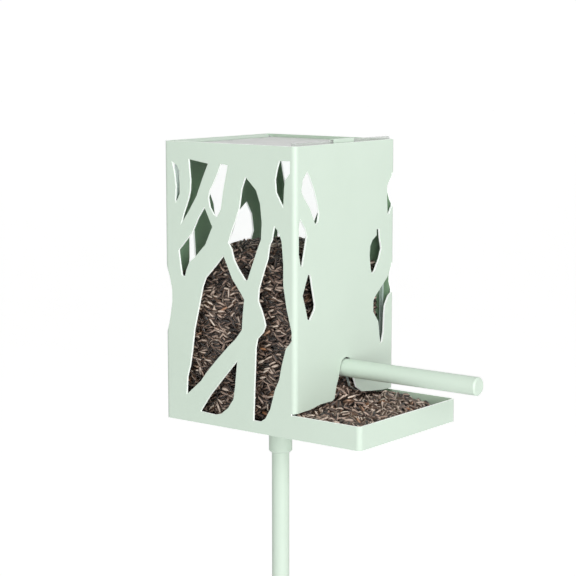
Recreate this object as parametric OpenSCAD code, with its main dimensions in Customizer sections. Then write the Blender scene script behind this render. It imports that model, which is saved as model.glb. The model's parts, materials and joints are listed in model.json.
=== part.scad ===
// Bird feeder on a pole: a folded sheet-steel hopper with cut-out branches, a
// clear seed insert, an open tray, a round perch and a hinged clear lid, turning
// on a three-piece pole with a ground spike. The origin is on the pole's axis at
// ground level, +X points over the tray and +Z up.

/* [Hopper casing] */
// Outside width and depth of the square hopper
case_w = 165; // [165:1:175]
// Height of the hopper from its bottom edge to its rim
case_h = 280; // [275:1:300]
// Thickness of the folded steel sheet
sheet = 2; // [1.5:0.5:2.5]
// Outside radius of the vertical folds
fold_r = 5; // [4:0.5:6]

/* [Tray] */
// How far the tray reaches in front of the hopper
tray_l = 76; // [70:1:90]
// Height of the tray's rim
tray_h = 23; // [20:1:23]
// Height of the slit that frees the front panel from the tray's rim
slit_h = 1.5; // [1:0.5:2]

/* [Perch] */
// Diameter of the perch
perch_d = 18; // [16:1:18]
// How far the perch reaches in front of the hopper
perch_l = 153.5; // [120:0.5:170]
// Height of the perch's axis above the hopper's bottom edge
perch_z = 58; // [56:1:60]

/* [Seed insert and lid] */
// Outside width and depth of the clear insert
insert_w = 150; // [146:1:152]
// Thickness of the clear panes
pane = 3; // [2:0.5:3]
// Height of the seeds in the hopper, above its bottom edge
seed_z = 181; // [120:1:220]

/* [Pole] */
// Height of the hopper's bottom edge above the ground
stand_h = 900; // [700:10:1400]
// Outside diameter of the pole
pole_d = 18; // [18:1:18]
// Wall of the pole's tubes
pole_wall = 1.5; // [1:0.5:2]
// Diameter of the ground spike
spike_d = 16; // [16:1:17]
// Length of the ground spike's round part
spike_l = 180; // [140:10:250]

/* [Hidden] */
$fn = 64;

paint = "#DCE9DF";
steel = "#B8BCBE";
clear = [0.86, 0.91, 0.90, 0.35];
seed_brown = "#4A3A30";
nylon = "#E4E4DE";

half = case_w / 2;
inner = half - sheet;

// Gaps where pieces rest on each other, where they are fastened, and round a plug in its tube
gap = 0.2;
fit = 0.1;
plug_fit = 0.05;

// How far a cut runs past the face it starts from
over = 1;

// Screws: M4 through the base plate, M5 in the socket's side and M6 in the perch
m4_r = 2;
m4_hole_r = 2.2;
m5_r = 2.5;
m6_r = 3;
m6_hole_r = 3.2;

// Front panel: it ends above the slit, with a seed outlet round the perch
panel_z = tray_h + slit_h;
outlet_r = perch_d / 2 + 1.5;
outlet = [[-90, -2], [-90, panel_z], [-58, 25.5], [-42, 28], [-23, 28], [-19, 30], [-16, 42],
    [-12.5, 50], [-outlet_r, perch_z], [outlet_r, perch_z], [11, 50], [14, 44], [18, 35.5],
    [28, 29.5], [43, 27.5], [62, 25.5], [90, panel_z], [90, -2]];

// Base plate, flange and socket
base_z = 1;
base_t = 2.5;
floor_z = base_z + base_t;
flange_d = 60;
flange_t = 3;
socket_d = 24;
socket_l = 40.5;
socket_bore_r = pole_d / 2 + 0.06;
socket_screw_circle = 44;
set_screw_z = -24;
set_screw_l = 4;

// Pole: three equal tubes between the ground and the cap under the base plate
cap_t = 2;
pole_top = stand_h + base_z - gap - cap_t;
tube_l = pole_top / 3;
pole_bore_r = pole_d / 2 - pole_wall;
joiner_l = 70;

// Insert, inside faces and top edge
insert_half = insert_w / 2;
insert_inside = insert_half - pane;
seed_half = insert_inside - 0.3;
lid_z = case_h - 6.2;
leaf_t = 1.2;
pane_top = lid_z - leaf_t - 2 * gap;
pane_foot = floor_z + fit;
locator_x = insert_half + 0.3;
locator_t = 1.5;

// Perch: a tube from the back wall, closed in front by a turned plug
perch_back = fit - inner;
perch_plug_l = 4;
perch_bore_r = perch_d / 2 - 1.5;

// Lid hinge: axis below the rim at the back, barrel round a fixed pin
hinge_x = 6 - half;
hinge_z = case_h - 3.5;
barrel_d = 7;
barrel_half = 73;
pin_d = 3;
lug_t = 2;
leaf_l = 18;
rivet_r = 1.6;
rivet_hole_r = 1.65;
rivet_sink = 1.1;
lid_half = 79;
lid_front = half - 5;
lip_top = case_h + 2.8;
grip_half = 16.5;
grip_t = 1;

// Openings in the left wall: six upper ones, three long lower ones, and one that runs
// round the fold to the back wall
left_holes = [
    [[-72, 260], [-65, 256], [-62, 250], [-62, 228], [-67, 219], [-68, 222], [-67, 235], [-69, 250]],
    [[-50, 263], [-25, 259.5], [-33, 243], [-40, 227], [-50, 212], [-61, 197.5], [-57, 209],
        [-51, 223], [-48.5, 232], [-48, 243], [-49, 252]],
    [[-9, 260], [0, 259], [-6, 234], [-9, 216], [-14, 208], [-18, 210], [-23, 217], [-25, 226],
        [-23, 234], [-19, 240], [-13, 251]],
    [[-30, 217], [-20, 198], [-29, 180], [-42, 167], [-50, 161], [-54, 153], [-56, 146], [-60, 147],
        [-62, 158], [-64, 172], [-46, 191], [-38, 206]],
    [[22, 249], [35, 237], [40, 224], [42, 206], [41, 190], [36, 179], [30, 164], [24, 149], [21, 149],
        [12, 160], [7, 168], [4, 178], [0, 184], [4, 195], [9, 206], [14, 219], [17, 237]],
    [[63, 266], [76, 266], [76, 255], [70, 248], [69, 240], [68, 222], [65, 226], [59, 236],
        [58, 248], [60, 257]],
    [[57, 204], [62, 199], [66, 190], [68, 168], [68, 148], [72, 126], [78, 104], [78, 95], [71, 87],
        [66, 70], [63, 56], [58, 46], [52, 26], [46, 16], [40, 12], [31, 12], [32, 40], [33, 60],
        [34, 84], [36, 93], [43, 100], [46, 107], [44, 114], [41, 122], [37, 130], [38, 142],
        [45, 162], [49, 172], [51, 185], [54, 190]],
    [[-6, 171], [-1, 161], [5, 149], [14, 138], [20, 130], [18, 114], [17, 100], [9, 90], [0, 82],
        [-15, 67], [-28, 53], [-36, 43], [-50, 31], [-55, 27], [-54, 45], [-50, 58], [-47, 75],
        [-44, 95], [-38, 118], [-33, 138], [-29, 147], [-16, 160]],
    [[11, 69], [8, 42], [6, 30], [-1, 20], [-10, 13], [-18, 11], [-37, 12], [-24, 30], [-10, 46]],
    [[-84, 162], [-82, 159], [-79, 152], [-77, 147], [-75, 140], [-73, 131], [-73, 120], [-75, 108],
        [-77, 98], [-79, 92], [-82, 86], [-84, 83]]];

// Openings in the front panel; the last two run round the right-hand fold
front_holes = [
    [[-64, 256], [-71, 248], [-73, 237], [-69, 231], [-60, 221], [-54, 210], [-51, 204], [-47, 206],
        [-45, 214], [-47, 222], [-53, 238], [-60, 251]],
    [[-75, 212], [-77, 205], [-77, 178], [-74, 166], [-71, 166], [-68, 178], [-64, 194], [-66, 201]],
    [[-62, 158], [-67, 147], [-71, 138], [-66, 124], [-63, 114], [-59, 113], [-52, 122], [-51, 127],
        [-55, 143], [-58, 156]],
    [[51, 191], [51, 185], [44, 181], [40, 175], [39, 166], [41, 152], [43, 147], [48, 149], [56, 161],
        [60, 171], [57, 182], [56, 191]],
    [[78, 245], [75, 241.5], [72, 238], [69, 233], [69, 218], [70, 204], [73, 205], [76, 210],
        [78, 212]],
    [[78, 153], [74, 148], [71, 141], [60, 132], [49, 123], [46, 119], [46, 108], [55, 97], [57, 84],
        [59, 74], [62, 75], [65, 85], [66, 105], [67, 112], [73, 121], [78, 124]]];

// Openings of the right wall that differ from the left wall's mirror image
right_own_holes = [
    [[-36, 248], [-24, 256], [-12, 250], [-11, 226], [-13, 202], [-19, 188], [-22, 172], [-28, 158],
        [-37, 162], [-42, 174], [-43, 192], [-41, 208], [-38, 230]],
    [[-64, 258], [-46, 261], [-42, 246], [-46, 228], [-53, 214], [-57, 224], [-60, 238]],
    [[84, 248], [82, 245.5], [79, 241], [76, 237], [73, 233], [74.5, 226], [76.5, 219], [79, 215],
        [82, 212], [84, 210]],
    [[84, 156], [82, 154], [79, 149], [77, 142], [77, 134], [79, 128], [82, 124.5], [84, 123]],
    [[54, 112], [60, 96], [58, 72], [54, 54], [62, 34], [58, 16], [50, 13], [42, 30], [40, 52],
        [44, 72], [50, 94]]];
right_holes = concat([for (i = [1, 2, 6, 7, 8]) flip(left_holes[i])], right_own_holes);

// Openings in the back wall; the first runs round the fold to the left wall
back_holes = [
    [[-78, 159], [-74, 166], [-69, 160], [-66, 140], [-62, 124], [-64, 106], [-70, 92], [-74, 84],
        [-78, 85]],
    [[-43, 194], [-39, 186], [-37, 160], [-31, 138], [-23, 120], [-25, 100], [-34, 86], [-46, 72],
        [-53, 88], [-55, 108], [-50, 134], [-47, 160], [-47, 184]],
    [[-14, 258], [18, 260], [23, 238], [17, 216], [10, 198], [1, 190], [-7, 200], [-9, 212],
        [-15, 224], [-19, 242]],
    [[45, 210], [54, 196], [57, 178], [50, 164], [44, 148], [41, 128], [33, 112], [24, 120],
        [16, 136], [9, 150], [15, 168], [24, 184], [33, 202]],
    [[-72, 262], [-54, 264], [-61, 246], [-63, 228], [-70, 214], [-74, 230], [-75, 248]],
    [[50, 262], [70, 262], [74, 246], [70, 232], [62, 236], [56, 248]],
    [[-68, 62], [-56, 54], [-40, 44], [-30, 30], [-24, 13], [-50, 12], [-66, 16], [-70, 38]],
    [[-8, 112], [4, 102], [10, 84], [-2, 80], [-14, 84], [-18, 98]],
    [[-10, 12], [14, 12], [20, 24], [12, 34], [-2, 36], [-13, 26]],
    [[34, 12], [62, 13], [68, 36], [64, 60], [60, 84], [50, 98], [36, 92], [26, 78], [24, 58],
        [30, 40]],
    [[72, 158], [76, 138], [73, 118], [66, 106], [60, 116], [58, 134], [64, 150]]];

function flip(outline) = [for (p = outline) [-p.x, p.y]];

// A rectangle from one corner to the other with four round corners
module round_rect(x0, x1, y0, y1, r) {
    translate([x0 + r, y0]) square([x1 - x0 - 2 * r, y1 - y0]);
    translate([x0, y0 + r]) square([x1 - x0, y1 - y0 - 2 * r]);
    for (x = [x0 + r, x1 - r], y = [y0 + r, y1 - r])
        translate([x, y]) circle(r);
}

// The sheet's section where it runs round a box that ends at x1
module wall_ring(x1) {
    difference() {
        round_rect(-half, x1, -half, half, fold_r);
        round_rect(-inner, x1 - sheet, -inner, inner, fold_r - sheet);
    }
}

// Prisms through a wall: along -Y and along +X, from an outline in (y, z) or (x, z)
module cut_y(outlines, y, depth) {
    for (outline = outlines)
        translate([0, y, 0]) rotate([90, 0, 0]) linear_extrude(depth) polygon(outline);
}

module cut_x(outlines, x, depth) {
    for (outline = outlines)
        translate([x, 0, 0]) rotate([90, 0, 90]) linear_extrude(depth) polygon(outline);
}

module at_head() {
    translate([0, 0, stand_h]) children();
}

module along_x(x, y, z) {
    translate([x, y, z]) rotate([0, 90, 0]) children();
}

module along_y(x, y, z) {
    translate([x, y, z]) rotate([-90, 0, 0]) children();
}

// Pole

module ground_spike() {
    tip_l = 40;
    tip_r = 1.2;
    stub_l = 40;
    stub_r = pole_bore_r - plug_fit;
    bevel = 1;
    color(steel) rotate_extrude() polygon([[0, -spike_l - tip_l], [tip_r, -spike_l - tip_l],
        [spike_d / 2, -spike_l], [spike_d / 2, 0], [stub_r, 0], [stub_r, stub_l - bevel],
        [stub_r - bevel, stub_l], [0, stub_l]]);
}

module pole_tube(bottom) {
    bevel = 0.6;
    r = pole_d / 2;
    color(paint) translate([0, 0, bottom]) rotate_extrude() polygon([[pole_bore_r, 0],
        [r - bevel, 0], [r, bevel], [r, tube_l - bevel], [r - bevel, tube_l], [pole_bore_r, tube_l]]);
}

module pole_lower() {
    pole_tube(0);
}

module pole_middle() {
    pole_tube(tube_l);
}

module pole_upper() {
    pole_tube(2 * tube_l);
}

module joiner(middle) {
    end = joiner_l / 2;
    bevel = 1;
    r = pole_bore_r - plug_fit;
    color(steel) translate([0, 0, middle]) rotate_extrude() polygon([[0, -end], [r - bevel, -end],
        [r, bevel - end], [r, end - bevel], [r - bevel, end], [0, end]]);
}

module pole_joiner_lower() {
    joiner(tube_l);
}

module pole_joiner_upper() {
    joiner(2 * tube_l);
}

module pole_cap() {
    plug_l = 12;
    color(nylon) translate([0, 0, pole_top]) {
        translate([0, 0, -plug_l]) cylinder(h = plug_l, r = pole_bore_r - plug_fit);
        cylinder(h = cap_t, r = pole_d / 2 - gap);
    }
}

// Casing

module casing() {
    depth = fold_r + 2 * over;
    color(paint) at_head() difference() {
        union() {
            linear_extrude(tray_h) wall_ring(half + tray_l);
            translate([0, 0, tray_h]) linear_extrude(slit_h) intersection() {
                wall_ring(half);
                translate([-half, -half]) square([case_w - fold_r, case_w]);
            }
            translate([0, 0, panel_z]) linear_extrude(case_h - panel_z) wall_ring(half);
        }
        cut_y(left_holes, fold_r + over - half, depth);
        cut_y(right_holes, half + over, depth);
        cut_x(front_holes, half - fold_r - over, depth);
        cut_x(back_holes, -half - over, depth);
        intersection() {
            cut_x([outlet], half - 2 * sheet, 3 * sheet);
            translate([0, 1 - half, panel_z]) cube([case_w, case_w - 2, case_h]);
        }
        along_x(half - 2 * sheet, 0, perch_z) cylinder(h = 3 * sheet, r = outlet_r);
        along_x(-half - over, 0, perch_z) cylinder(h = sheet + 2 * over, r = m6_hole_r);
    }
}

module base_plate() {
    sink = 2.2;
    color(paint) at_head() difference() {
        translate([0, 0, base_z]) linear_extrude(base_t)
            round_rect(fit - inner, inner + tray_l - fit, fit - inner, inner - fit, fold_r - sheet - fit);
        socket_screw_places() {
            translate([0, 0, base_z - over]) cylinder(h = base_t + 2 * over, r = m4_hole_r);
            translate([0, 0, floor_z - sink])
                cylinder(h = sink + fit, r1 = m4_hole_r, r2 = m4_hole_r + sink + fit);
        }
    }
}

// Socket under the base plate

module socket_screw_places() {
    for (turn = [45, 135, 225, 315])
        rotate(turn) translate([socket_screw_circle / 2, 0]) children();
}

module pole_socket() {
    r = socket_d / 2;
    bevel = 2;
    rim = 0.6;
    color(paint) at_head() difference() {
        translate([0, 0, base_z]) rotate_extrude() polygon([[socket_bore_r, -socket_l],
            [r - bevel, -socket_l], [r, bevel - socket_l], [r, -flange_t - bevel], [r + bevel, -flange_t],
            [flange_d / 2 - rim, -flange_t], [flange_d / 2, rim - flange_t], [flange_d / 2, 0],
            [socket_bore_r, 0]]);
        socket_screw_places() translate([0, 0, base_z - flange_t - over])
            cylinder(h = flange_t + 2 * over, r = m4_hole_r);
        along_x(-socket_d, 0, set_screw_z) cylinder(h = socket_d - socket_bore_r / 2, r = m5_r + fit / 2);
    }
}

module socket_screws() {
    head_t = 2;
    shank_l = 9;
    drive_t = 1.4;
    top = floor_z - fit;
    color(steel) at_head() socket_screw_places() difference() {
        union() {
            translate([0, 0, base_z - shank_l]) cylinder(h = top - base_z + shank_l, r = m4_r);
            translate([0, 0, top - head_t]) cylinder(h = head_t, r1 = m4_r, r2 = m4_r + head_t);
        }
        translate([0, 0, top - drive_t]) cylinder(h = drive_t + over, r = 1.45, $fn = 6);
    }
}

module socket_nuts() {
    nut_t = 3.2;
    nut_r = 7 / sqrt(3);
    color(steel) at_head() socket_screw_places() translate([0, 0, base_z - flange_t - fit - nut_t])
        difference() {
            cylinder(h = nut_t, r = nut_r, $fn = 6);
            translate([0, 0, -over]) cylinder(h = nut_t + 2 * over, r = m4_r + plug_fit);
        }
}

module socket_set_screw() {
    drive_t = 2.5;
    color(steel) at_head() along_x(-socket_bore_r - fit - set_screw_l, 0, set_screw_z) difference() {
        cylinder(h = set_screw_l, r = m5_r);
        translate([0, 0, -over]) cylinder(h = drive_t + over, r = 1.45, $fn = 6);
    }
}

// Clear insert and what holds it

module insert_locators() {
    leg = 14;
    height = 7;
    color(paint) at_head() for (sx = [0, 1], sy = [0, 1])
        mirror([sx, 0, 0]) mirror([0, sy, 0]) translate([locator_x, locator_x, floor_z]) difference() {
            translate([locator_t - leg, locator_t - leg, 0]) cube([leg, leg, height]);
            translate([-leg, -leg, -over]) cube([leg, leg, height + 2 * over]);
        }
}

module side_pane(y) {
    color(clear) at_head() translate([-insert_half, y, pane_foot])
        cube([insert_w, pane, pane_top - pane_foot]);
}

module pane_left() {
    side_pane(-insert_half);
}

module pane_right() {
    side_pane(insert_inside);
}

module pane_front() {
    color(clear) at_head() difference() {
        translate([insert_inside, -insert_inside, panel_z])
            cube([pane, 2 * insert_inside, pane_top - panel_z]);
        cut_x([outlet], insert_inside - over, pane + 2 * over);
        along_x(insert_inside - over, 0, perch_z) cylinder(h = pane + 2 * over, r = outlet_r);
    }
}

module pane_back() {
    color(clear) at_head() difference() {
        translate([-insert_half, -insert_inside, pane_foot])
            cube([pane, 2 * insert_inside, pane_top - pane_foot]);
        along_x(-insert_half - over, 0, perch_z) cylinder(h = pane + 2 * over, r = perch_d / 2 + 0.5);
    }
}

// Perch

module perch() {
    color(paint) at_head() along_x(perch_back, 0, perch_z) difference() {
        cylinder(h = half + perch_l - perch_plug_l - perch_back, r = perch_d / 2);
        translate([0, 0, -over]) cylinder(h = case_w + perch_l, r = perch_bore_r);
    }
}

module perch_plug() {
    bevel = 1.5;
    stub_l = 12;
    stub_r = perch_bore_r - plug_fit;
    r = perch_d / 2;
    color(paint) at_head() along_x(half + perch_l - perch_plug_l, 0, perch_z) rotate_extrude()
        polygon([[0, -stub_l], [stub_r, -stub_l], [stub_r, 0], [r, 0], [r, perch_plug_l - bevel],
            [r - bevel, perch_plug_l], [0, perch_plug_l]]);
}

module perch_insert() {
    length = 20;
    color(steel) at_head() along_x(perch_back, 0, perch_z) difference() {
        cylinder(h = length, r = perch_bore_r - plug_fit);
        translate([0, 0, -over]) cylinder(h = length + 2 * over, r = m6_r + plug_fit);
    }
}

module perch_washer() {
    washer_t = 1.5;
    color(steel) at_head() along_x(-half - fit - washer_t, 0, perch_z) difference() {
        cylinder(h = washer_t, r = 9);
        translate([0, 0, -over]) cylinder(h = washer_t + 2 * over, r = m6_hole_r);
    }
}

module perch_screw() {
    head_x = -half - 1.7;
    head_t = 3.3;
    drive_t = 2.3;
    color(steel) at_head() difference() {
        union() {
            along_x(head_x, 0, perch_z) cylinder(h = 20, r = m6_r);
            along_x(head_x - head_t, 0, perch_z) rotate_extrude() polygon([[0, 0], [4, 0], [5, 0.8],
                [5.25, head_t], [0, head_t]]);
        }
        along_x(head_x - head_t - over, 0, perch_z) cylinder(h = drive_t + over, r = 2.3, $fn = 6);
    }
}

// Lid and hinge

module hinge_lugs() {
    lug_l = 6.5;
    lug_h = 7.8;
    below = 6;
    color(paint) at_head() for (side = [0, 1]) mirror([0, side, 0]) difference() {
        translate([0, 0, hinge_z - below]) linear_extrude(lug_h) intersection() {
            round_rect(fit - inner, inner - fit, fit - inner, inner - fit, fold_r - sheet - fit);
            translate([-inner, inner - fit - lug_t]) square([fit + lug_l, lug_t + fit]);
        }
        along_y(hinge_x, inner - fit - lug_t - over, hinge_z)
            cylinder(h = lug_t + 2 * over, r = pin_d / 2 + 0.02);
    }
}

module hinge_pin() {
    reach = inner - gap;
    color(steel) at_head() along_y(hinge_x, -reach, hinge_z) cylinder(h = 2 * reach, r = pin_d / 2);
}

module lid_barrel() {
    color(paint) at_head() difference() {
        union() {
            along_y(hinge_x, -barrel_half, hinge_z) cylinder(h = 2 * barrel_half, r = barrel_d / 2);
            translate([hinge_x, -barrel_half, lid_z - leaf_t]) cube([leaf_l, 2 * barrel_half, leaf_t]);
        }
        along_y(hinge_x, -barrel_half - over, hinge_z)
            cylinder(h = 2 * (barrel_half + over), r = pin_d / 2 + 0.08);
        rivet_places() translate([0, 0, -pane]) cylinder(h = 4 * leaf_t, r = rivet_hole_r, center = true);
    }
}

// On the top face of the lid
module rivet_places() {
    for (y = [-50, 0, 50])
        translate([hinge_x + leaf_l - 6, y, lid_z + pane]) children();
}

module lid_pane() {
    lip = 3;
    bend = 3;
    back = hinge_x + barrel_d / 2 + 1;
    color(clear) at_head() difference() {
        translate([0, lid_half, 0]) rotate([90, 0, 0]) linear_extrude(2 * lid_half) difference() {
            union() {
                translate([back, lid_z]) square([lid_front - bend - back, pane]);
                translate([lid_front - lip, lid_z + bend]) square([lip, lip_top - lid_z - bend]);
                translate([lid_front - bend - pane / 2, lid_z + pane / 2])
                    square([bend, bend]);
                intersection() {
                    translate([lid_front - bend, lid_z + bend]) circle(bend);
                    translate([lid_front - bend, lid_z]) square(bend);
                }
            }
            translate([lid_front - lip - bend, lid_z + pane]) square([bend, bend]);
        }
        rivet_places() {
            translate([0, 0, -pane - over]) cylinder(h = pane + 2 * over, r = rivet_hole_r);
            translate([0, 0, -rivet_sink])
                cylinder(h = rivet_sink + fit, r1 = rivet_hole_r, r2 = rivet_hole_r + rivet_sink + fit);
        }
    }
}

// Countersunk in the lid, with a flattened tail under the leaf
module lid_rivets() {
    leaf_bottom = -pane - leaf_t;
    tail = leaf_bottom - plug_fit;
    head_r = rivet_r + rivet_sink - fit;
    color(steel) at_head() rivet_places() rotate_extrude() polygon([[0, -fit], [head_r, -fit],
        [rivet_r, -rivet_sink], [rivet_r, tail], [2.8, tail], [2.5, tail - 0.6], [1.4, tail - 0.85],
        [0, tail - 0.85]]);
}

module lid_grip() {
    slot = 3.2;
    front_x = lid_front + fit + grip_t;
    back_x = front_x - slot - 2 * grip_t;
    foot_z = lid_z + pane + fit;
    top_z = lip_top + fit + grip_t;
    color(paint) at_head() translate([0, grip_half, 0]) rotate([90, 0, 0])
        linear_extrude(2 * grip_half) difference() {
            translate([back_x, foot_z]) square([front_x - back_x, top_z - foot_z]);
            translate([back_x + grip_t, foot_z - over]) square([slot, top_z - grip_t - foot_z + over]);
        }
}

// Seeds

module hopper_seeds() {
    bottom = floor_z + gap;
    color(seed_brown) at_head() difference() {
        translate([-seed_half, -seed_half, bottom])
            cube([2 * seed_half, 2 * seed_half, seed_z - bottom]);
        along_x(-half, 0, perch_z) cylinder(h = case_w, r = perch_d / 2 + 0.3);
    }
}

// Seeds with one section in (x, z), out to the same distance on both sides
module seed_bank(spread, section) {
    translate([0, spread, 0]) rotate([90, 0, 0]) linear_extrude(2 * spread) polygon(section);
}

module tray_seeds() {
    bottom = floor_z + gap;
    back = locator_x + locator_t + gap;
    front = inner + tray_l - 0.5;
    color(seed_brown) at_head() {
        seed_bank(inner - 2.5, [[back, bottom], [front, bottom], [front, 14], [half + 30, 17.5],
            [half, 21], [back, 21.6]]);
        seed_bank(60, [[insert_inside, bottom], [half, bottom], [half, 21], [insert_inside, 22]]);
        translate([0, -5, 0]) seed_bank(9, [[insert_inside, bottom], [half + 24, bottom],
            [half + 22, 18], [half + 6, 31], [insert_inside, 41]]);
    }
}

ground_spike();
pole_lower();
pole_middle();
pole_upper();
pole_joiner_lower();
pole_joiner_upper();
pole_cap();
casing();
base_plate();
pole_socket();
socket_screws();
socket_nuts();
socket_set_screw();
insert_locators();
pane_left();
pane_right();
pane_front();
pane_back();
perch();
perch_plug();
perch_insert();
perch_washer();
perch_screw();
hinge_lugs();
hinge_pin();
hopper_seeds();
tray_seeds();
lid_pane();
lid_barrel();
lid_rivets();
lid_grip();
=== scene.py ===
import json
import math
import random

import bmesh
import bpy
import numpy as np
from mathutils import Euler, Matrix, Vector


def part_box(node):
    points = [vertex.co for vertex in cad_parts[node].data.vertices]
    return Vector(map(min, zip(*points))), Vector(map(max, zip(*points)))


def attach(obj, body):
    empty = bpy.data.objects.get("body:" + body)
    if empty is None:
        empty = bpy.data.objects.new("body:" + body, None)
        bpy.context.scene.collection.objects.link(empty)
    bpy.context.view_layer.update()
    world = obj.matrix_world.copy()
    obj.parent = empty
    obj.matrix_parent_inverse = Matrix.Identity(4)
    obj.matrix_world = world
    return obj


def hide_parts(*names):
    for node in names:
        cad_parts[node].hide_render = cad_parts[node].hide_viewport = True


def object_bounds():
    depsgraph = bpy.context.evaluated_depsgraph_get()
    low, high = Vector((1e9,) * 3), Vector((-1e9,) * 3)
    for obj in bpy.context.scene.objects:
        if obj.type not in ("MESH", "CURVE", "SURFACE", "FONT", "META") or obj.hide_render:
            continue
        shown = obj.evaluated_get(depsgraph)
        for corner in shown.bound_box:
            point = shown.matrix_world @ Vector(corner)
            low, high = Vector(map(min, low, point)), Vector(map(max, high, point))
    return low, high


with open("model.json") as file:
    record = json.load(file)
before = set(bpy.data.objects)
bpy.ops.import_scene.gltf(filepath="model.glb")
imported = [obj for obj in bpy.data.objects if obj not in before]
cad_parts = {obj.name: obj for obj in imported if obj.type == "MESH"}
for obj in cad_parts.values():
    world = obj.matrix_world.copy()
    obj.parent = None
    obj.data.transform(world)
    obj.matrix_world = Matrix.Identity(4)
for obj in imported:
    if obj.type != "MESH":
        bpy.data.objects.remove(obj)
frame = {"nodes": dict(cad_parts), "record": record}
cad_lo, cad_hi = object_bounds()

MM = 0.001

# Shades of the coat, as low and high ends of its drift
COAT = ((0.624, 0.738, 0.634), (0.648, 0.762, 0.658))
# Painted highlight: a near-white coat for the casing's cut and rounded edges, so they look lit
COAT_EDGE_PAINTED_HIGHLIGHT = ((0.86, 0.93, 0.87), (0.90, 0.95, 0.90))
# Painted shade: a darker, greener coat for the inward faces of the hopper, standing for the shade inside
# it
COAT_PAINTED_SHADE_INSIDE = ((0.26, 0.42, 0.26), (0.30, 0.47, 0.30))
# The plain lit shade that the inward faces keep ahead of the casing's front and above the lid pane's
# underside
COAT_IN_OPEN = (0.60, 0.74, 0.60)
COAT_SPECK = (0.86, 0.92, 0.87)

# Finishing of the CAD pieces
WELD = 0.003 * MM
FLAT_ANGLE = math.radians(0.5)
SHARP_ANGLE = math.radians(28)
CASING_SHEET = 2 * MM
PANE_SHEET = 3 * MM
WALL_SKIN = 2.1 * MM

# Seeds
SEED_LENGTH, SEED_WIDTH, SEED_THICK = 11.6 * MM, 5.2 * MM, 3.6 * MM
SEED_SIZES = (0.86, 1.12)
SEED_SLIMNESS = (0.85, 1.1)
# Tones vary at random in each heap; the hopper's mostly dark tones are painted shade and the tray's
# mostly light tones painted light on the same seeds
HOPPER_DARKNESS_PAINTED_SHADE, TRAY_DARKNESS_PAINTED_LIGHT = 1.15, 0.42
WALL_COLUMN, WALL_ROW = 7.0 * MM, 3.9 * MM
TOP_SPACING, TRAY_SPACING = 6.2 * MM, 5.8 * MM

# Camera: its place over the casing's lower edge, the way it looks, its lens
CAMERA_X, CAMERA_Y, CAMERA_RISE = 1.0585, -1.3488, 0.3802
CAMERA_HEADING, CAMERA_PITCH = math.radians(127.87), math.radians(8.30)
CAMERA_LENS = 107.0


# Node trees


class Shader:
    """A material's node tree with short calls for adding nodes and links."""

    def __init__(self, name):
        self.material = bpy.data.materials.new(name)
        self.material.use_nodes = True
        self.tree = self.material.node_tree
        self.tree.nodes.clear()

    def add(self, kind, values=None, **settings):
        node = self.tree.nodes.new(kind)
        for key, value in settings.items():
            setattr(node, key, value)
        for key, value in (values or {}).items():
            self.feed(node, key, value)
        return node

    def feed(self, node, key, value):
        if isinstance(value, bpy.types.NodeSocket):
            self.tree.links.new(value, node.inputs[key])
        else:
            node.inputs[key].default_value = value

    def place(self):
        return self.add("ShaderNodeTexCoord").outputs["Object"]

    def noise(self, scale, detail=2.0, vector=None, rough=0.5):
        node = self.add(
            "ShaderNodeTexNoise",
            {"Vector": vector or self.place(), "Scale": scale, "Detail": detail, "Roughness": rough},
        )
        return node.outputs["Fac"]

    def ramp(self, factor, stops, interpolation="LINEAR"):
        node = self.add("ShaderNodeValToRGB", {"Fac": factor})
        ramp = node.color_ramp
        ramp.interpolation = interpolation
        while len(ramp.elements) < len(stops):
            ramp.elements.new(1.0)
        for element, (position, colour) in zip(ramp.elements, stops):
            element.position = position
            element.color = (*colour, 1.0)
        return node.outputs["Color"]

    def span(self, factor, low, high, start=0.0, end=1.0):
        node = self.add(
            "ShaderNodeMapRange",
            {"Value": factor, "From Min": start, "From Max": end, "To Min": low, "To Max": high},
        )
        return node.outputs["Result"]

    def math(self, operation, a, b=0.0):
        return self.add("ShaderNodeMath", {0: a, 1: b}, operation=operation).outputs[0]

    def mix(self, factor, a, b, blend="MIX"):
        node = self.add("ShaderNodeMix", data_type="RGBA", blend_type=blend)
        self.feed(node, 0, factor)
        for index, colour in ((6, a), (7, b)):
            self.feed(node, index, colour if isinstance(colour, bpy.types.NodeSocket) else (*colour, 1.0))
        return node.outputs[2]

    def bump(self, height, strength, distance, normal=None):
        values = {"Height": height, "Strength": strength, "Distance": distance}
        if normal is not None:
            values["Normal"] = normal
        return self.add("ShaderNodeBump", values).outputs["Normal"]

    def principled(self, **values):
        named = {key.replace("_", " "): value for key, value in values.items()}
        colour = named.get("Base Color")
        if isinstance(colour, tuple):
            named["Base Color"] = (*colour, 1.0)
        return self.add("ShaderNodeBsdfPrincipled", named).outputs["BSDF"]

    def done(self, surface):
        self.add("ShaderNodeOutputMaterial", {"Surface": surface})
        return self.material


# Materials


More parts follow.
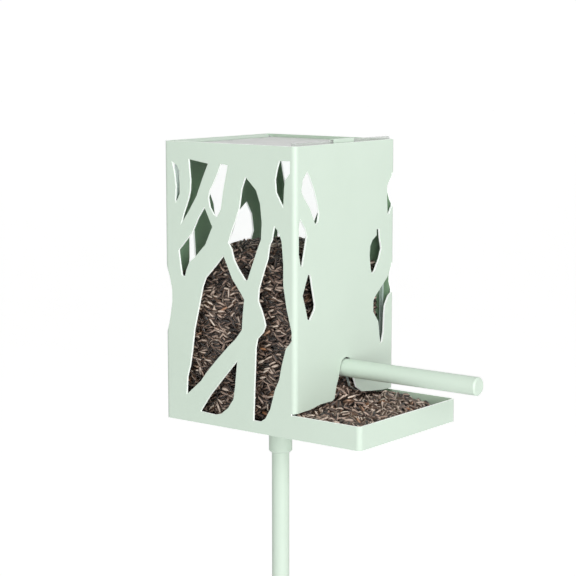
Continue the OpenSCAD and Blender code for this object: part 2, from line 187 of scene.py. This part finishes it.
def powder_coat(name, low, high, glow=0.0, shine=1.0, open_from=None):
    """Satin mint powder coat: fine orange peel and a faint drift between two shades.

    Glow is a painted light, a faint emission of its own, and shine scales its highlights. Where X is over
    the first number of open_from, or Z over the second, the coat has the shade COAT_IN_OPEN, so a painted
    inside shade stops there.
    """
    s = Shader(name)
    drift = s.noise(9.0, 3.0)
    speck = s.noise(900.0, 2.0)
    tone = s.mix(s.span(drift, 0.0, 1.0, 0.35, 0.65), low, high)
    tone = s.mix(s.span(speck, 0.0, 0.05, 0.45, 0.75), tone, COAT_SPECK)
    if open_from is not None:
        front, top = open_from
        split = s.add("ShaderNodeSeparateXYZ", {"Vector": s.place()})
        ahead = s.span(split.outputs["X"], 0.0, 1.0, front - 1 * MM, front + 1 * MM)
        above = s.span(split.outputs["Z"], 0.0, 1.0, top - 1 * MM, top + 1 * MM)
        tone = s.mix(s.math("MAXIMUM", ahead, above), tone, COAT_IN_OPEN)
    peel = s.bump(s.noise(420.0, 3.0), 0.10, 0.0004)
    grain = s.bump(s.noise(2600.0, 2.0), 0.06, 0.0001, peel)
    rough = s.span(s.noise(160.0, 3.0), 0.36, 0.46, 0.3, 0.7)
    surface = s.principled(
        Base_Color=tone,
        Roughness=rough,
        Normal=grain,
        Specular_IOR_Level=0.5 * shine,
        Coat_Weight=0.12 * shine,
        Coat_Roughness=0.28,
        Emission_Color=(1.0, 1.0, 1.0, 1.0),
        Emission_Strength=glow,
    )
    return s.done(surface)


def clear_acrylic():
    """Clear flat sheet: it mirrors at a low angle and shows what is behind it, a shade greener."""
    s = Shader("clear_acrylic")
    wipe = s.noise(60.0, 4.0)
    tint = s.mix(s.span(wipe, 0.0, 1.0, 0.3, 0.7), (0.990, 0.998, 0.994), (1.0, 1.0, 1.0))
    through = s.add("ShaderNodeBsdfTransparent", {"Color": tint}).outputs[0]
    rough = s.span(s.noise(240.0, 5.0), 0.02, 0.08, 0.35, 0.75)
    gloss = s.add("ShaderNodeBsdfGlossy", {"Roughness": rough}).outputs[0]
    facing = s.add("ShaderNodeLayerWeight", {"Blend": 0.5}).outputs["Facing"]
    share = s.math("ADD", s.math("MULTIPLY", s.math("POWER", facing, 5.0), 0.99), 0.004)
    return s.done(s.add("ShaderNodeMixShader", {0: share, 1: through, 2: gloss}).outputs[0])


def satin_acrylic():
    """The lid's sheet: a satin face that looks grey at a low angle, a painted reflection of the white
    room, and hazy from above.
    """
    s = Shader("satin_acrylic")
    grain = s.noise(1400.0, 3.0)
    cloud = s.noise(45.0, 3.0)
    # Painted reflection: this grey skin shows most at a low angle, in place of the white room mirrored in
    # the sheet
    tone = s.mix(s.span(cloud, 0.0, 1.0, 0.35, 0.65), (0.70, 0.715, 0.69), (0.76, 0.77, 0.75))
    rough = s.span(s.noise(300.0, 4.0), 0.30, 0.42, 0.35, 0.7)
    normal = s.bump(grain, 0.12, 0.0002)
    skin = s.principled(Base_Color=tone, Roughness=rough, Normal=normal)
    through = s.add("ShaderNodeBsdfTransparent", {"Color": (0.93, 0.95, 0.94, 1.0)}).outputs[0]
    facing = s.add("ShaderNodeLayerWeight", {"Blend": 0.5}).outputs["Facing"]
    share = s.span(s.math("POWER", facing, 2.0), 0.35, 0.97)
    return s.done(s.add("ShaderNodeMixShader", {0: share, 1: through, 2: skin}).outputs[0])


def acrylic_edge():
    """The sawn edge of clear sheet, which gathers light: pale grey green and half see-through."""
    s = Shader("acrylic_edge")
    saw = s.noise(500.0, 3.0)
    tint = s.mix(saw, (0.55, 0.68, 0.64), (0.72, 0.82, 0.79))
    skin = s.principled(Base_Color=tint, Roughness=0.35, Normal=s.bump(saw, 0.2, 0.0002))
    through = s.add("ShaderNodeBsdfTransparent", {"Color": (0.80, 0.90, 0.86, 1.0)}).outputs[0]
    return s.done(s.add("ShaderNodeMixShader", {0: 0.6, 1: through, 2: skin}).outputs[0])


def turned_steel(name, colour, rough):
    """Plain bright steel with fine turning lines."""
    s = Shader(name)
    lines = s.add(
        "ShaderNodeTexWave",
        {"Vector": s.place(), "Scale": 900.0, "Distortion": 2.0, "Detail": 2.0},
        bands_direction="Z",
    ).outputs["Fac"]
    cloud = s.noise(70.0, 3.0)
    shade = tuple(0.82 * c for c in colour)
    tone = s.mix(s.span(cloud, 0.0, 1.0, 0.3, 0.7), shade, colour)
    normal = s.bump(lines, 0.08, 0.0001)
    dull = s.span(cloud, rough - 0.06, rough + 0.08, 0.3, 0.7)
    return s.done(s.principled(Base_Color=tone, Metallic=1.0, Roughness=dull, Normal=normal))


def nylon():
    """Natural nylon with a dull moulded skin."""
    s = Shader("natural_nylon")
    tone = s.mix(s.noise(140.0, 3.0), (0.70, 0.69, 0.65), (0.78, 0.77, 0.73))
    normal = s.bump(s.noise(900.0, 2.0), 0.1, 0.0002)
    return s.done(s.principled(Base_Color=tone, Roughness=0.55, Normal=normal))


def sunflower_husk():
    """Striped husks: stripes run along each seed, and every seed has its own tone."""
    s = Shader("sunflower_husk")
    local = s.add("ShaderNodeAttribute", attribute_name="seed_local").outputs["Vector"]
    tone = s.add("ShaderNodeAttribute", attribute_name="seed_tone").outputs["Fac"]
    split = s.add("ShaderNodeSeparateXYZ", {"Vector": local})
    along, across = split.outputs["X"], split.outputs["Y"]
    shift = s.math("MULTIPLY", tone, 40.0)
    stretched = s.math("MULTIPLY", across, 6.0)
    fibre_place = s.add("ShaderNodeCombineXYZ", {"X": along, "Y": stretched, "Z": shift})
    fibre = s.noise(2.2, 3.0, fibre_place.outputs[0])
    wander = s.math("ADD", s.math("MULTIPLY", across, 9.0), s.math("MULTIPLY", fibre, 2.4))
    stripe = s.math("SINE", s.math("ADD", wander, shift))
    stripe = s.span(stripe, 0.0, 1.0, 0.0, 0.75)
    dark = s.ramp(
        tone,
        [
            (0.0, (0.010, 0.008, 0.007)),
            (0.6, (0.032, 0.022, 0.018)),
            (1.0, (0.11, 0.06, 0.035)),
        ],
    )
    light = s.ramp(
        tone,
        [
            (0.0, (0.035, 0.023, 0.018)),
            (0.30, (0.19, 0.120, 0.090)),
            (0.60, (0.48, 0.340, 0.270)),
            (0.95, (0.86, 0.72, 0.61)),
            (1.0, (0.46, 0.20, 0.09)),
        ],
    )
    colour = s.mix(stripe, dark, light)
    colour = s.mix(s.span(along, 0.0, 0.35, 0.3, 1.0), colour, light)
    normal = s.bump(s.math("ADD", fibre, s.math("MULTIPLY", stripe, 0.4)), 0.35, 0.0004)
    rough = s.span(fibre, 0.36, 0.56, 0.3, 0.7)
    return s.done(s.principled(Base_Color=colour, Roughness=rough, Normal=normal))


def seed_core_painted_shade():
    """A near-black mass behind the seeds that show: painted shade for the deep gaps between them."""
    s = Shader("seed_core_painted_shade")
    tone = s.mix(s.noise(260.0, 4.0), (0.010, 0.008, 0.007), (0.045, 0.032, 0.025))
    normal = s.bump(s.noise(220.0, 3.0), 0.8, 0.002)
    return s.done(s.principled(Base_Color=tone, Roughness=0.8, Normal=normal))


def pale_floor():
    """A white sweep, bright enough to run into the white behind it."""
    s = Shader("pale_floor")
    tone = s.mix(s.noise(3.0, 2.0), (0.86, 0.86, 0.855), (0.89, 0.89, 0.885))
    seen = s.add("ShaderNodeLightPath").outputs["Is Camera Ray"]
    glow = s.math("ADD", s.math("MULTIPLY", seen, 0.45), 0.15)
    values = dict(Base_Color=tone, Roughness=0.85, Emission_Color=(1.0, 1.0, 1.0, 1.0))
    return s.done(s.principled(Emission_Strength=glow, **values))


PAINT = powder_coat("mint_powder_coat", *COAT)
# Painted highlight: the casing's cut and rounded edges get a much lighter coat that also glows faintly
PAINT_EDGE_PAINTED_HIGHLIGHT = powder_coat("mint_coat_painted_edge_highlight", *COAT_EDGE_PAINTED_HIGHLIGHT, glow=0.22)
# The painted inside shade stops ahead of the casing's front and above the lid pane's underside
OPEN_FROM = (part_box("casing")[1].y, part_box("lid_pane")[0].z)
PAINT_INSIDE_PAINTED_SHADE = powder_coat("mint_coat_painted_inside_shade", *COAT_PAINTED_SHADE_INSIDE, shine=0.15, open_from=OPEN_FROM)
ACRYLIC = clear_acrylic()
ACRYLIC_EDGE = acrylic_edge()
SATIN_PAINTED_REFLECTION = satin_acrylic()
SCREW_STEEL = turned_steel("screw_steel", (0.62, 0.63, 0.64), 0.30)
SPIKE_STEEL = turned_steel("spike_steel", (0.50, 0.51, 0.52), 0.42)
NYLON = nylon()
HUSK = sunflower_husk()
DEPTH_PAINTED_SHADE = seed_core_painted_shade()


# Finished copies of the CAD pieces


def body_of(node):
    bodies = frame["record"]["behaviour"]["bodies"]
    return next(body for body, nodes in bodies.items() if node in nodes)


def add_object(name, mesh, body, nodes):
    piece = bpy.data.objects.new(name, mesh)
    bpy.context.scene.collection.objects.link(piece)
    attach(piece, body)
    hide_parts(*nodes)
    return piece


def is_cut_edge(face, sheet):
    """True for a face no wider than the sheet, between sharp edges, that isn't a wall's own face."""
    around = sum(edge.calc_length() for edge in face.edges)
    sharp = sum(edge.calc_length() for edge in face.edges if not edge.smooth)
    centre, normal = face.calc_center_median(), face.normal
    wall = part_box("casing")[1].y - WALL_SKIN
    on_side = abs(normal.y) > 0.999 and abs(centre.y) > wall
    on_front = abs(normal.x) > 0.999 and abs(centre.x) > wall
    narrow = 2 * face.calc_area() / around < 1.02 * sheet
    return narrow and sharp > 0.5 * around and not on_side and not on_front


def faces_inwards(face):
    """True for an upright face of the hopper that looks towards the pole's axis; these faces get the
    painted inside shade.
    """
    centre, normal = face.calc_center_median(), face.normal
    reach = centre.x * normal.x + centre.y * normal.y
    return abs(normal.z) < 0.1 and reach < -10 * MM and centre.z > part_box("tray_seeds")[1].z


def paint_faces(work, cut, sheet, inside):
    """Gives each face its material's number: 1 on cut edges, 2 on inward faces, 0 on the rest."""
    for face in work.faces:
        face.smooth = True
        # Number 1 is the lighter coat of painted edge highlight on the casing, and the sawn edge on the
        # panes
        if cut is not None and is_cut_edge(face, sheet):
            face.material_index = 1
        # Number 2 is the darker coat of painted shade inside the hopper
        elif inside is not None and faces_inwards(face):
            face.material_index = 2
        else:
            face.material_index = 0


def round_edges(piece, width, segments, material_number):
    """Rounds the sharp edges by width and keeps the flat faces flat."""
    bevel = piece.modifiers.new("rounded_edges", "BEVEL")
    bevel.width = width
    bevel.segments = segments
    bevel.limit_method = "ANGLE"
    bevel.angle_limit = SHARP_ANGLE
    bevel.use_clamp_overlap = True
    # The rounded faces take number 1: on the casing the painted edge highlight, on the panes the sawn
    # edge
    bevel.material = material_number
    shade = piece.modifiers.new("flat_faces", "WEIGHTED_NORMAL")
    shade.mode = "FACE_AREA"
    shade.weight = 100
    shade.keep_sharp = True


def finish_node(node, material, edge, segments=2, cut=None, sheet=0.0, inside=None):
    """A copy of a CAD node with joined faces and small rounded edges, which stands for it.

    Faces no wider than sheet, and the rounded edges, get the material cut, on the casing a lighter coat
    as painted highlight. The other upright faces that look inwards get the material inside, on the casing
    a darker coat as painted shade.
    """
    mesh = bpy.data.meshes.new(node + "_finish")
    work = bmesh.new()
    work.from_mesh(frame["nodes"][node].data)
    bmesh.ops.remove_doubles(work, verts=work.verts, dist=WELD)
    bmesh.ops.dissolve_limit(
        work,
        angle_limit=FLAT_ANGLE,
        verts=work.verts,
        edges=work.edges,
        use_dissolve_boundaries=False,
    )
    for joint in work.edges:
        joint.smooth = len(joint.link_faces) == 2 and joint.calc_face_angle() < SHARP_ANGLE
    paint_faces(work, cut, sheet, inside)
    work.to_mesh(mesh)
    work.free()
    for name in ("custom_normal", "UVMap"):
        if name in mesh.attributes:
            mesh.attributes.remove(mesh.attributes[name])
    for coat in (material, cut, inside):
        if coat is not None:
            mesh.materials.append(coat)
    piece = add_object(node + "_finish", mesh, body_of(node), [node])
    round_edges(piece, edge, segments, 0 if cut is None else 1)


finish_node("casing", PAINT, 0.65 * MM, 3, PAINT_EDGE_PAINTED_HIGHLIGHT, CASING_SHEET, PAINT_INSIDE_PAINTED_SHADE)
for painted in ("base_plate", "insert_locators", "hinge_lugs", "lid_barrel", "lid_grip"):
    finish_node(painted, PAINT, 0.25 * MM)
for painted in ("pole_lower", "pole_middle", "pole_upper", "pole_socket", "perch", "perch_plug"):
    finish_node(painted, PAINT, 0.2 * MM)
for clear in ("pane_left", "pane_right", "pane_front", "pane_back"):
    finish_node(clear, ACRYLIC, 0.25 * MM, 2, ACRYLIC_EDGE, PANE_SHEET)
finish_node("lid_pane", SATIN_PAINTED_REFLECTION, 0.25 * MM)
for metal in ("socket_screws", "socket_nuts", "socket_set_screw", "perch_washer", "perch_screw"):
    finish_node(metal, SCREW_STEEL, 0.15 * MM)
for metal in ("hinge_pin", "lid_rivets"):
    finish_node(metal, SCREW_STEEL, 0.1 * MM)
finish_node("ground_spike", SPIKE_STEEL, 0.4 * MM)

HIDDEN_INSIDE = {
    "pole_joiner_lower": SPIKE_STEEL,
    "pole_joiner_upper": SPIKE_STEEL,
    "pole_cap": NYLON,
    "perch_insert": SCREW_STEEL,
}
for inside, material in HIDDEN_INSIDE.items():
    data = frame["nodes"][inside].data
    data.materials.clear()
    data.materials.append(material)


# Seeds


def seed_shape():
    """One husk along X, unit size: rings from the blunt end to the point, each a six-sided lens."""
    rings = [(-0.44, 0.42), (-0.28, 0.84), (-0.05, 1.0), (0.20, 0.76), (0.40, 0.34)]
    sides = 6
    points = [(-0.5, 0.0, 0.0)]
    for x, wide in rings:
        for k in range(sides):
            turn = 2 * math.pi * k / sides
            points.append((x, 0.5 * wide * math.cos(turn), 0.5 * wide * math.sin(turn)))
    points.append((0.5, 0.0, 0.0))
    faces = []
    for k in range(sides):
        after = (k + 1) % sides
        faces.append((0, 1 + after, 1 + k))
        for ring in range(len(rings) - 1):
            a, b = 1 + ring * sides, 1 + (ring + 1) * sides
            faces.append((a + k, a + after, b + after, b + k))
        last = 1 + (len(rings) - 1) * sides
        faces.append((last + k, last + after, len(points) - 1))
    return np.array(points), faces


SEED_POINTS, SEED_FACES = seed_shape()
NO_CORE = ([], [])


class Heap:
    """Collects seeds and builds them, and a dark core of painted shade, as one mesh."""

    def __init__(self, random_start, darkness):
        """Tones are spread evenly at darkness 1 and are mostly dark above it."""
        self.random = random.Random(random_start)
        self.darkness = darkness
        self.points, self.local, self.tones = [], [], []

    def add_seed(self, centre, turn):
        """A seed at centre, turned by a 3 by 3 matrix."""
        size = self.random.uniform(*SEED_SIZES)
        slim = self.random.uniform(*SEED_SLIMNESS)
        scale = np.array([SEED_LENGTH * size, SEED_WIDTH * size * slim, SEED_THICK * size])
        self.points.append((SEED_POINTS * scale) @ np.array(turn).T + np.array(centre))
        self.local.append(SEED_POINTS)
        self.tones.append(self.random.random() ** self.darkness)

    def build(self, name, node, core):
        """Builds the heap in place of a CAD node. Core is its dark mass, painted shade for the gaps, as
        points and faces.
        """
        count = len(self.points)
        lowest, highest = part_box(node)
        points = np.clip(np.concatenate(self.points), lowest, highest)
        step = len(SEED_POINTS)
        faces = [tuple(i + step * n for i in face) for n in range(count) for face in SEED_FACES]
        core_points, core_faces = core
        faces += [tuple(i + step * count for i in face) for face in core_faces]
        mesh = bpy.data.meshes.new(name)
        core_points = np.array(core_points, dtype=float).reshape(-1, 3)
        mesh.from_pydata(np.concatenate([points, core_points]).tolist(), [], faces)
        empty = np.zeros((len(core_points), 3))
        local = mesh.attributes.new("seed_local", "FLOAT_VECTOR", "POINT")
        local.data.foreach_set("vector", np.concatenate([*self.local, empty]).ravel())
        tone = mesh.attributes.new("seed_tone", "FLOAT", "POINT")
        tone.data.foreach_set("value", np.concatenate([np.repeat(self.tones, step), empty[:, 0]]))
        mesh.materials.append(HUSK)
        mesh.materials.append(DEPTH_PAINTED_SHADE)
        index = np.zeros(len(faces), dtype=int)
        index[len(faces) - len(core_faces):] = 1
        mesh.polygons.foreach_set("material_index", index)
        mesh.polygons.foreach_set("use_smooth", np.ones(len(faces), dtype=bool))
        mesh.update()
        add_object(name, mesh, body_of(node), [node])


def smooth_step(value):
    value = min(1.0, max(0.0, value))
    return value * value * (3 - 2 * value)


hopper_lo, hopper_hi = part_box("hopper_seeds")
tray_lo, tray_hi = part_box("tray_seeds")
HALF = hopper_hi.x
PERCH_LO, PERCH_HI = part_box("perch")
PERCH_Z = (PERCH_LO.z + PERCH_HI.z) / 2
PERCH_R = (PERCH_HI.z - PERCH_LO.z) / 2


def hopper_top(x, y):
    """Height of the seed in the hopper: mounded, lower in the back left and front right corners."""
    crown = hopper_hi.z - 2.5 * MM
    fall = 8 * MM * ((x - 5 * MM) ** 2 + y * y) / HALF**2
    dip = 14 * MM * smooth_step((-x - y - 50 * MM) / (70 * MM))
    slide = 11 * MM * smooth_step((x + y - 30 * MM) / (90 * MM))
    return crown - fall - dip - slide


def box_core(lo, hi, top):
    """A closed block from the corner lo to the corner hi, with its top at height top(x, y)."""
    steps = 12
    points, faces = [], []
    for level in (0, 1):
        for i in range(steps + 1):
            for j in range(steps + 1):
                x = lo[0] + (hi[0] - lo[0]) * i / steps
                y = lo[1] + (hi[1] - lo[1]) * j / steps
                points.append((x, y, top(x, y) if level else lo[2]))
    row = steps + 1
    upper = row * row
    for i in range(steps):
        for j in range(steps):
            a, b = i * row + j, (i + 1) * row + j
            c, d = b + 1, a + 1
            faces.append((upper + a, upper + b, upper + c, upper + d))
            faces.append((d, c, b, a))
    for k in range(steps):
        edges = (
            (k * row, (k + 1) * row),
            ((k + 1) * row + steps, k * row + steps),
            (k + 1, k),
            (steps * row + k, steps * row + k + 1),
        )
        for a, b in edges:
            faces.append((a, b, upper + b, upper + a))
    return points, faces


def leaning_on_pane(rand, side):
    """The turn of a seed that lies flat against a pane, most of them lengthwise."""
    tilt = rand.gauss(0, math.radians(32))
    nod = rand.uniform(-0.30, 0.30)
    roll = rand.gauss(math.pi / 2, 0.55)
    flip = math.pi if rand.random() < 0.5 else 0.0
    turn = Euler((0, 0, side + math.pi / 2 + flip)).to_matrix()
    turn = turn @ Euler((0, tilt, 0)).to_matrix() @ Euler((0, 0, nod)).to_matrix()
    return turn @ Euler((roll, 0, 0)).to_matrix()


def wall_seeds(heap, side):
    """Seeds against one pane, in two layers. Side is the pane's outward direction about Z."""
    out = Vector((math.cos(side), math.sin(side), 0))
    along = Vector((-math.sin(side), math.cos(side), 0))
    rand = heap.random
    for depth, thinner in ((2.9 * MM, 1.0), (6.2 * MM, 1.18)):
        columns = int(2 * (HALF - 5 * MM) / (WALL_COLUMN * thinner))
        rows = int((hopper_hi.z - hopper_lo.z - 3 * MM) / (WALL_ROW * thinner))
        for i in range(columns + 1):
            for j in range(rows + 1):
                u = -HALF + 5 * MM + (i + 0.5 * (j % 2)) * WALL_COLUMN * thinner
                u += rand.uniform(-1.6, 1.6) * MM
                z = hopper_lo.z + 3 * MM + j * WALL_ROW * thinner + rand.uniform(-1.2, 1.2) * MM
                u = max(-HALF + 4.5 * MM, min(HALF - 4.5 * MM, u))
                centre = out * (HALF - depth - rand.uniform(0, 1.0) * MM) + along * u
                if z > hopper_top(centre.x, centre.y) - 0.5 * MM:
                    continue
                if math.hypot(centre.y, z - PERCH_Z) < PERCH_R + 3 * MM and abs(out.x) > 0.5:
                    continue
                heap.add_seed((centre.x, centre.y, z), leaning_on_pane(rand, side))


def surface_seeds(heap, lo, hi, height, spacing, layers, tumble, clear=None):
    """Seeds lying on a heap whose height is height(x, y).

    Tumble is how far they tip, in radians. No seed goes where clear(x, y, z) is true.
    """
    rand = heap.random
    step = 2 * MM
    for layer in range(layers):
        columns = int((hi[0] - lo[0]) / spacing)
        rows = int((hi[1] - lo[1]) / spacing)
        for i in range(columns + 1):
            for j in range(rows + 1):
                x = lo[0] + i * (hi[0] - lo[0]) / columns + rand.uniform(-0.45, 0.45) * spacing
                y = lo[1] + j * (hi[1] - lo[1]) / rows + rand.uniform(-0.45, 0.45) * spacing
                x, y = max(lo[0], min(hi[0], x)), max(lo[1], min(hi[1], y))
                z = height(x, y) - (0.8 + 2.6 * layer) * MM + rand.uniform(-0.9, 0.9) * MM
                if clear is not None and clear(x, y, z):
                    continue
                lean_x = math.atan((height(x, y + step) - height(x, y - step)) / (2 * step))
                lean_y = -math.atan((height(x + step, y) - height(x - step, y)) / (2 * step))
                lean = (lean_x + rand.gauss(0, tumble), lean_y + rand.gauss(0, tumble), 0)
                turn = Euler(lean).to_matrix()
                turn = turn @ Euler((0, 0, rand.uniform(0, 2 * math.pi))).to_matrix()
                turn = turn @ Euler((rand.gauss(0, 2 * tumble), 0, 0)).to_matrix()
                heap.add_seed((x, y, z), turn)


def fill_hopper():
    """Seeds against the four panes and on top, over one dark core of painted shade that goes with the
    front ones.
    """
    inset = 8.5 * MM
    core_lo = (-HALF + inset, -HALF + inset, hopper_lo.z)
    core_hi = (HALF - inset, HALF - inset)
    core = box_core(core_lo, core_hi, lambda x, y: hopper_top(x, y) - 5 * MM)
    sides = {"front": 0.0, "right": math.pi / 2, "back": math.pi, "left": -math.pi / 2}
    for number, (name, side) in enumerate(sides.items()):
        heap = Heap(11 + number, HOPPER_DARKNESS_PAINTED_SHADE)
        wall_seeds(heap, side)
        heap.build("hopper_seeds_" + name, "hopper_seeds", core if name == "front" else NO_CORE)
    top = Heap(31, HOPPER_DARKNESS_PAINTED_SHADE)
    edge = HALF - 5 * MM
    surface_seeds(top, (-edge, -edge), (edge, edge), hopper_top, TOP_SPACING, 2, 0.22)
    top.build("hopper_seeds_top", "hopper_seeds", NO_CORE)


def tray_top(x, y):
    """Height of the seed in the tray: a slope from the outlet to the front strip, with a heap."""
    panel_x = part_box("pane_front")[1].x + 7 * MM
    run = smooth_step((x - panel_x) / (tray_hi.x - panel_x))
    slope = tray_lo.z + 17.5 * MM - 8.0 * MM * run
    across = (y + 5 * MM) / (12 * MM)
    heap = 22 * MM * math.exp(-(((x - panel_x + 8 * MM) / (20 * MM)) ** 2) - across**2)
    wave = 0.8 * MM * math.sin(x * 260) * math.sin(y * 190)
    return slope + heap + wave


def fill_tray():
    """Seeds lying in the tray, with a clear ring round the perch, over a dark core of painted shade."""
    heap = Heap(47, TRAY_DARKNESS_PAINTED_LIGHT)
    lo = (tray_lo.x + 3 * MM, tray_lo.y + 4 * MM)
    hi = (tray_hi.x - 4 * MM, tray_hi.y - 4 * MM)

    def near_perch(x, y, z):
        return math.hypot(y, z - PERCH_Z) < PERCH_R + 2.2 * MM

    surface_seeds(heap, lo, hi, tray_top, TRAY_SPACING, 2, 0.42, near_perch)
    core = box_core((*lo, tray_lo.z), hi, lambda x, y: tray_top(x, y) - 6 * MM)
    heap.build("tray_seeds_heap", "tray_seeds", core)


fill_hopper()
fill_tray()


# Stage, light and camera


def add_floor():
    """A wide floor just under the spike's point."""
    mesh = bpy.data.meshes.new("floor")
    size = 30.0
    z = cad_lo.z - 0.5 * MM
    corners = [(-size, -size, z), (size, -size, z), (size, size, z), (-size, size, z)]
    mesh.from_pydata(corners, [], [(0, 1, 2, 3)])
    mesh.materials.append(pale_floor())
    floor = bpy.data.objects.new("floor", mesh)
    bpy.context.scene.collection.objects.link(floor)


def add_area(name, azimuth, elevation, distance, size, power, aim):
    """A soft box. Azimuth 0 stands on the -Y side and 90 on the +X side."""
    a, e = math.radians(azimuth), math.radians(elevation)
    back = Vector((math.sin(a) * math.cos(e), -math.cos(a) * math.cos(e), math.sin(e)))
    data = bpy.data.lights.new(name, "AREA")
    data.shape = "RECTANGLE"
    data.size, data.size_y = size
    data.energy = power
    lamp = bpy.data.objects.new(name, data)
    lamp.location = aim + back * distance
    lamp.rotation_mode = "QUATERNION"
    lamp.rotation_quaternion = (-back).to_track_quat("-Z", "Y")
    bpy.context.scene.collection.objects.link(lamp)


def add_world():
    """A white room, dimmer as a light than it looks to the camera and in the gloss."""
    world = bpy.data.worlds.new("studio")
    bpy.context.scene.world = world
    world.use_nodes = True
    tree = world.node_tree
    tree.nodes.clear()
    background = tree.nodes.new("ShaderNodeBackground")
    background.inputs["Color"].default_value = (1.0, 1.0, 1.0, 1.0)
    background.inputs["Strength"].default_value = 0.40
    seen = tree.nodes.new("ShaderNodeBackground")
    seen.inputs["Color"].default_value = (1.0, 1.0, 1.0, 1.0)
    seen.inputs["Strength"].default_value = 1.02
    path = tree.nodes.new("ShaderNodeLightPath")
    mix = tree.nodes.new("ShaderNodeMixShader")
    output = tree.nodes.new("ShaderNodeOutputWorld")
    bright = tree.nodes.new("ShaderNodeMath")
    bright.operation = "MAXIMUM"
    tree.links.new(path.outputs["Is Camera Ray"], bright.inputs[0])
    tree.links.new(path.outputs["Is Glossy Ray"], bright.inputs[1])
    tree.links.new(bright.outputs[0], mix.inputs[0])
    tree.links.new(background.outputs[0], mix.inputs[1])
    tree.links.new(seen.outputs[0], mix.inputs[2])
    tree.links.new(mix.outputs[0], output.inputs["Surface"])


def add_lights():
    """Three soft boxes, all aimed at the middle of the casing."""
    casing_lo, casing_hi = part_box("casing")
    aim = (casing_lo + casing_hi) / 2
    add_area("key_softbox", 66, 12, 3.0, (1.5, 1.5), 29, aim)
    add_area("front_softbox", 47, 8, 2.8, (0.7, 1.6), 30, aim)
    add_area("top_softbox", 10, 60, 2.4, (1.8, 1.8), 11, aim)


def add_camera():
    """A long lens 1.7 m in front of the hopper's near left fold, looking slightly down."""
    hopper_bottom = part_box("casing")[0].z
    data = bpy.data.cameras.new("camera")
    data.lens = CAMERA_LENS
    data.sensor_width = 36.0
    data.clip_end = 100.0
    camera = bpy.data.objects.new("camera", data)
    camera.location = (CAMERA_X, CAMERA_Y, hopper_bottom + CAMERA_RISE)
    level = math.cos(CAMERA_PITCH)
    ahead = (math.cos(CAMERA_HEADING) * level, math.sin(CAMERA_HEADING) * level)
    look = Vector((*ahead, -math.sin(CAMERA_PITCH)))
    camera.rotation_mode = "QUATERNION"
    camera.rotation_quaternion = look.to_track_quat("-Z", "Y")
    bpy.context.scene.collection.objects.link(camera)
    bpy.context.scene.camera = camera


add_floor()
add_world()
add_lights()
add_camera()
bpy.context.scene.view_settings.view_transform = "Standard"
